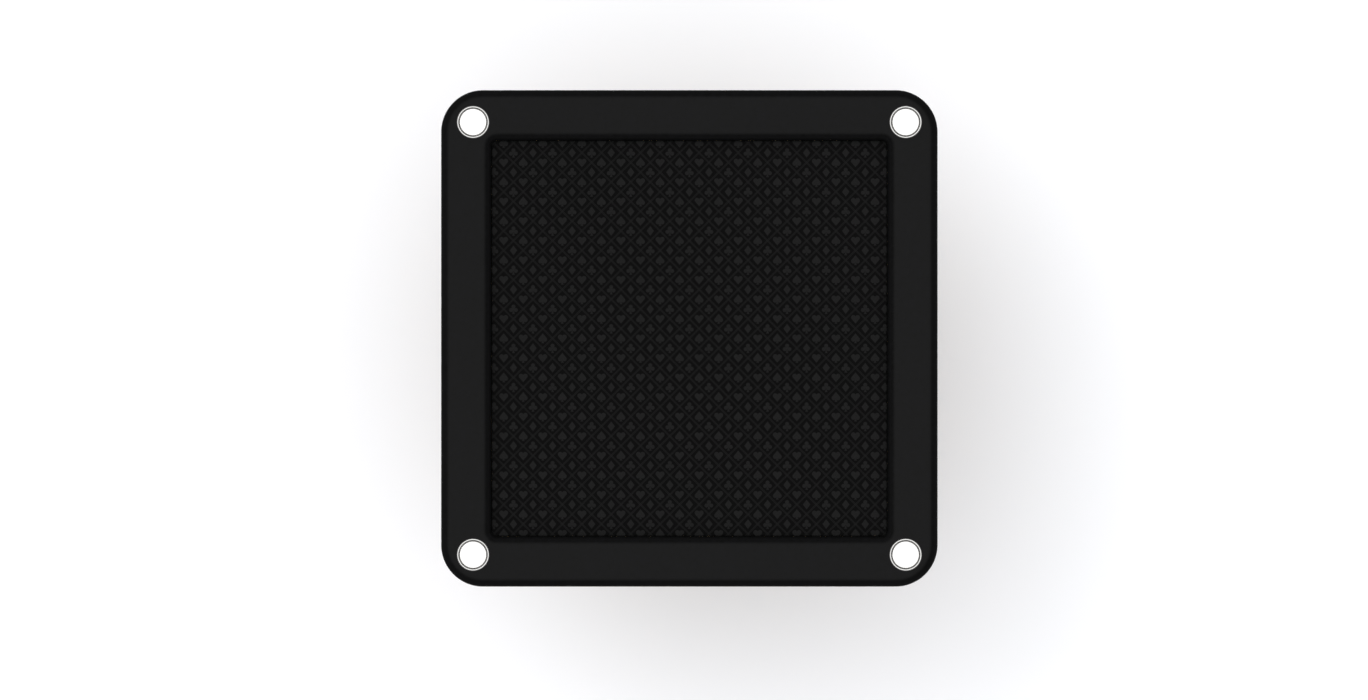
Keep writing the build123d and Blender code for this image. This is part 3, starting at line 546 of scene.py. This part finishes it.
tree.links.new(markBump.outputs[0], shader.inputs["Normal"])

# one recipe for all the wood, planed and either left bare or sprayed with black lacquer: long noise streaks
# along the grain, fine pores, and a tone that drifts from board to board
grain = {
    "drift": 0.4,              # metres over which the tone drifts
    "toneSpan": (0.7, 1.3),    # sum of streak and drift that gives the dark and the light tone
    "poresPerStreak": 4,
    "bump": 0.5,
    "satin": (-0.06, 0.08),    # how far the roughness swings about its middle
    "coatRoughness": 0.2,
}
timbers = {
    # name: light tone, dark tone, roughness, coat, then in metres the grain's spacing along x, y and z, and
    # the pores' depth
    "blackLacqueredRails": ("#2a2826", "#141312", 0.32, 0.3, (0.120, 0.120, 0.0028), 0.00008),
    "blackLacqueredColumn": ("#2a2826", "#141312", 0.32, 0.3, (0.0030, 0.0030, 0.140), 0.00008),
    "blackLacqueredTop": ("#2a2826", "#141312", 0.32, 0.3, (0.140, 0.0030, 0.0030), 0.00008),
    "birchPlywood": ("#d8bd90", "#b8935f", 0.62, 0.0, (0.180, 0.0045, 0.0016), 0.00010),
    "planedPine": ("#dcbf8f", "#b98d55", 0.66, 0.0, (0.0060, 0.160, 0.0060), 0.00010),
    "planedPineAcross": ("#dcbf8f", "#b98d55", 0.66, 0.0, (0.100, 0.100, 0.0060), 0.00010),
    "planedPinePosts": ("#dcbf8f", "#b98d55", 0.66, 0.0, (0.0060, 0.0060, 0.160), 0.00010),
}
woods = {}
for name, (paleTone, deepTone, rough, coat, spacing, poreDepth) in timbers.items():
    woods[name], tree, shader = newMaterial(
        name, IOR=1.5, Coat_Weight=coat, Coat_Roughness=grain["coatRoughness"], Roughness=rough,
        Specular_IOR_Level=0.3)
    spot = addNode(tree, "ShaderNodeTexCoord").outputs["Object"]
    density = tuple(1 / s for s in spacing)
    stretched = addNode(tree, "ShaderNodeVectorMath", [spot, density], operation="MULTIPLY")
    streak = addNode(tree, "ShaderNodeTexNoise", {
        "Vector": stretched, "Scale": 1.0, "Detail": 4.0, "Roughness": 0.6, "Distortion": 0.4})
    drift = addNode(tree, "ShaderNodeTexNoise", {
        "Vector": spot, "Scale": 1 / grain["drift"], "Detail": 1.0})
    both = addNode(tree, "ShaderNodeMath", [streak, drift], operation="ADD")
    level = addNode(tree, "ShaderNodeMapRange", {
        "Value": both, "From Min": grain["toneSpan"][0], "From Max": grain["toneSpan"][1]})
    tone = addNode(tree, "ShaderNodeValToRGB", [level])
    for end, colour in zip(tone.color_ramp.elements, (deepTone, paleTone)):
        end.color = hexColour(colour)
    tree.links.new(tone.outputs[0], shader.inputs["Base Color"])
    poreDensity = tuple(grain["poresPerStreak"] / s for s in spacing)
    poreSpace = addNode(tree, "ShaderNodeVectorMath", [spot, poreDensity], operation="MULTIPLY")
    pores = addNode(tree, "ShaderNodeTexNoise", {"Vector": poreSpace, "Scale": 1.0, "Detail": 2.0})
    relief = addNode(tree, "ShaderNodeMath", [streak, pores], operation="ADD")
    grainBump = addNode(tree, "ShaderNodeBump", {
        "Strength": grain["bump"], "Distance": poreDepth, "Height": relief})
    tree.links.new(grainBump.outputs[0], shader.inputs["Normal"])
    satin = addNode(tree, "ShaderNodeMapRange", {
        "Value": streak, "To Min": rough + grain["satin"][0], "To Max": rough + grain["satin"][1]})
    tree.links.new(satin.outputs[0], shader.inputs["Roughness"])

# zinc plated steel, bright and slightly blue, with a mottled passivation
zinc = {"tones": ("#b4b8bd", "#d6d9dc"), "roughness": (0.26, 0.40), "mottle": 0.003}
zincMaterial, tree, shader = newMaterial("zincPlatedSteel", Metallic=1.0, Roughness=0.32)
spot = addNode(tree, "ShaderNodeTexCoord").outputs["Object"]
mottle = addNode(tree, "ShaderNodeTexNoise", {"Vector": spot, "Scale": 1 / zinc["mottle"], "Detail": 3.0})
tone = addNode(tree, "ShaderNodeValToRGB", [mottle])
for end, colour in zip(tone.color_ramp.elements, zinc["tones"]):
    end.color = hexColour(colour)
tree.links.new(tone.outputs[0], shader.inputs["Base Color"])
dull = addNode(tree, "ShaderNodeMapRange", {
    "Value": mottle, "To Min": zinc["roughness"][0], "To Max": zinc["roughness"][1]})
tree.links.new(dull.outputs[0], shader.inputs["Roughness"])

# moulded black nylon: dull, with a fine sparked texture from the mould
nylon = {"tones": ("#141414", "#1d1d1d"), "spark": 0.0006, "sparkStrength": 0.4, "sparkDepth": 0.00006}
nylonMaterial, tree, shader = newMaterial("mouldedNylon", Roughness=0.55, IOR=1.53, Specular_IOR_Level=0.4)
spot = addNode(tree, "ShaderNodeTexCoord").outputs["Object"]
spark = addNode(tree, "ShaderNodeTexNoise", {"Vector": spot, "Scale": 1 / nylon["spark"], "Detail": 3.0})
# painted shade and highlight: the sparked texture's dips darker and its peaks lighter, from its bump's noise
tone = addNode(tree, "ShaderNodeValToRGB", [spark])
for end, colour in zip(tone.color_ramp.elements, nylon["tones"]):
    end.color = hexColour(colour)
tree.links.new(tone.outputs[0], shader.inputs["Base Color"])
sparkBump = addNode(tree, "ShaderNodeBump", {
    "Strength": nylon["sparkStrength"], "Distance": nylon["sparkDepth"], "Height": spark})
tree.links.new(sparkBump.outputs[0], shader.inputs["Normal"])

# which finish each CAD piece gets: the first row here with a start that the piece's own name has
finishes = [
    (("cup_",), steelMaterial),
    (("apron_dowels", "edge_cleats", "corner_braces"), woods["planedPineAcross"]),
    (("apron_", "plinth_skirt", "column_cap", "column_base"), woods["blackLacqueredRails"]),
    (("column_panel",), woods["blackLacqueredColumn"]),
    (("column_posts",), woods["planedPinePosts"]),
    (("plinth_top", "top_plate"), woods["blackLacqueredTop"]),
    (("plinth_blocks", "batten"), woods["planedPine"]),
    (("deck", "field_board", "rail_core"), woods["birchPlywood"]),
    (("rail_cover",), vinylMaterial),
    (("rail_foam", "field_underlay"), foamMaterial),
    (("field_cloth",), clothMaterial),
    (("foot_stud", "foot_inserts"), zincMaterial),
    (("foot_",), nylonMaterial),
    (("rail_", "plate_", "wood_screws"), zincMaterial),
]
for name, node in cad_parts.items():
    finish = next(material for starts, material in finishes if name.startswith(starts))
    if not node.material_slots:
        node.data.materials.append(finish)
    for place in node.material_slots:
        place.material = finish
print("materials on", len(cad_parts), "nodes")

print("scene ready")
